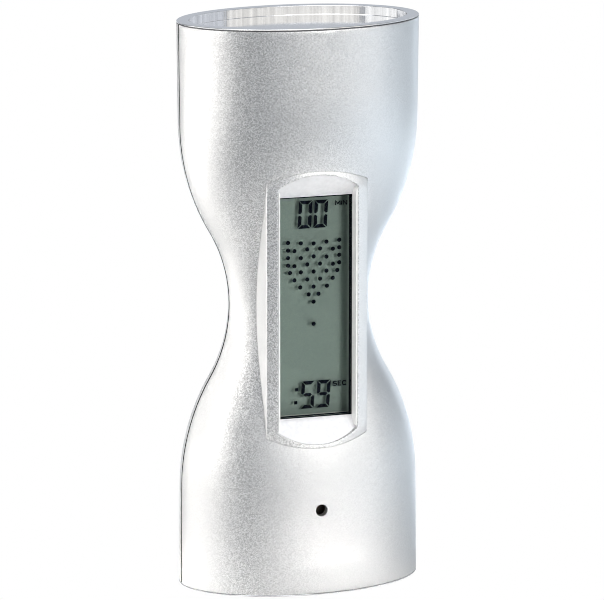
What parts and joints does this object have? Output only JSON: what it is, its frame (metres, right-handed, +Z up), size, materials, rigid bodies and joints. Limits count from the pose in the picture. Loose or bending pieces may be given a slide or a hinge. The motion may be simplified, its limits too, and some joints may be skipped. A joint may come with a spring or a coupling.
{
  "type": "electronic hourglass timer",
  "caption": "Upright hourglass-shaped countdown timer with a waisted oval case, a raised display window, keys on the back and a battery door; it starts when turned over.",
  "frame": {"origin": "middle of the base, on the surface it stands on", "axes": "+Z up along the case, display faces -Y, +X to the right of someone facing the display"},
  "size_m": [0.0626, 0.0398, 0.145],
  "materials": {
    "silver_paint": "silver metallic paint with fine sparkle on moulded plastic, satin",
    "gloss_silver": "silver, glossy",
    "pale_gloss": "pale silver, glossy",
    "clear_lens": "clear acrylic, polished",
    "lcd_film": "grey-green polarising film, satin",
    "lcd_glass": "thin float glass",
    "white_plastic": "white moulded plastic",
    "black_rubber": "conducting and insulating layered silicone",
    "board_green": "glass-epoxy board with green solder mask",
    "black_epoxy": "black epoxy",
    "bright_steel": "nickel-plated spring steel",
    "screw_steel": "zinc-plated steel",
    "grey_plastic": "grey moulded plastic",
    "button_plastic": "grey moulded plastic, satin",
    "plunger_black": "black moulded plastic",
    "buzzer_brass": "thin brass plate",
    "buzzer_ceramic": "silvered piezo ceramic",
    "cell_jacket": "printed film jacket",
    "ribbon_grey": "grey flat cable",
    "wire_red": "red insulation",
    "wire_black": "black insulation"
  },
  "bodies": {
    "case": {"battery_high": "cell_jacket", "battery_low": "cell_jacket", "battery_spring_high": "bright_steel", "battery_spring_low": "bright_steel", "battery_tray": "grey_plastic", "battery_wire_black": "wire_black", "battery_wire_red": "wire_red", "board_screw_1": "screw_steel", "board_screw_2": "screw_steel", "board_screw_3": "screw_steel", "board_screw_4": "screw_steel", "bottom_cap": "gloss_silver", "buffer_capacitor": "black_epoxy", "buzzer_ceramic": "buzzer_ceramic", "buzzer_disc": "buzzer_brass", "buzzer_retainer": "grey_plastic", "buzzer_wire_black": "wire_black", "buzzer_wire_red": "wire_red", "case_screw_1": "screw_steel", "case_screw_2": "screw_steel", "case_screw_3": "screw_steel", "case_screw_4": "screw_steel", "contact_bridge": "bright_steel", "contact_negative": "bright_steel", "contact_positive": "bright_steel", "controller_chip": "black_epoxy", "display_bezel": "silver_paint", "display_lens": "clear_lens", "display_surround": "pale_gloss", "front_shell": "silver_paint", "key_board": "board_green", "key_ribbon": "ribbon_grey", "key_screw_1": "screw_steel", "key_screw_2": "screw_steel", "lcd_front_glass": "lcd_glass", "lcd_front_polariser": "lcd_film", "lcd_holder": "white_plastic", "lcd_rear_glass": "lcd_glass", "lcd_reflector": "lcd_film", "main_board": "board_green", "minute_switch": "bright_steel", "quartz_crystal": "bright_steel", "rear_shell": "silver_paint", "second_switch": "bright_steel", "start_switch": "bright_steel", "tilt_switch_can": "bright_steel", "tilt_switch_lid": "grey_plastic", "top_cap": "gloss_silver", "zebra_strip_bottom": "black_rubber", "zebra_strip_top": "black_rubber"},
    "minute_key": {"minute_button": "button_plastic", "minute_plunger": "plunger_black"},
    "second_key": {"second_button": "button_plastic", "second_plunger": "plunger_black"},
    "start_key": {"start_button": "button_plastic", "start_plunger": "plunger_black"},
    "door": {"battery_door": "silver_paint"},
    "ball": {"tilt_ball": "bright_steel"}
  },
  "joints": [
    {"name": "minute_key_press", "type": "slide", "parent": "case", "child": "minute_key", "axis": [0, -1, 0], "range_m": [0, 0.0005], "stiffness_N_per_m": 600},
    {"name": "second_key_press", "type": "slide", "parent": "case", "child": "second_key", "axis": [0, -1, 0], "range_m": [0, 0.0005], "stiffness_N_per_m": 600},
    {"name": "start_key_press", "type": "slide", "parent": "case", "child": "start_key", "axis": [0, -1, 0], "range_m": [0, 0.0005], "stiffness_N_per_m": 600},
    {"name": "door_lift", "type": "slide", "parent": "case", "child": "door", "axis": [0, 1, 0], "range_m": [0, 0.03]},
    {"name": "ball_roll", "type": "slide", "parent": "case", "child": "ball", "axis": [0, 0, 1], "range_m": [0, 0.0055]}
  ]
}
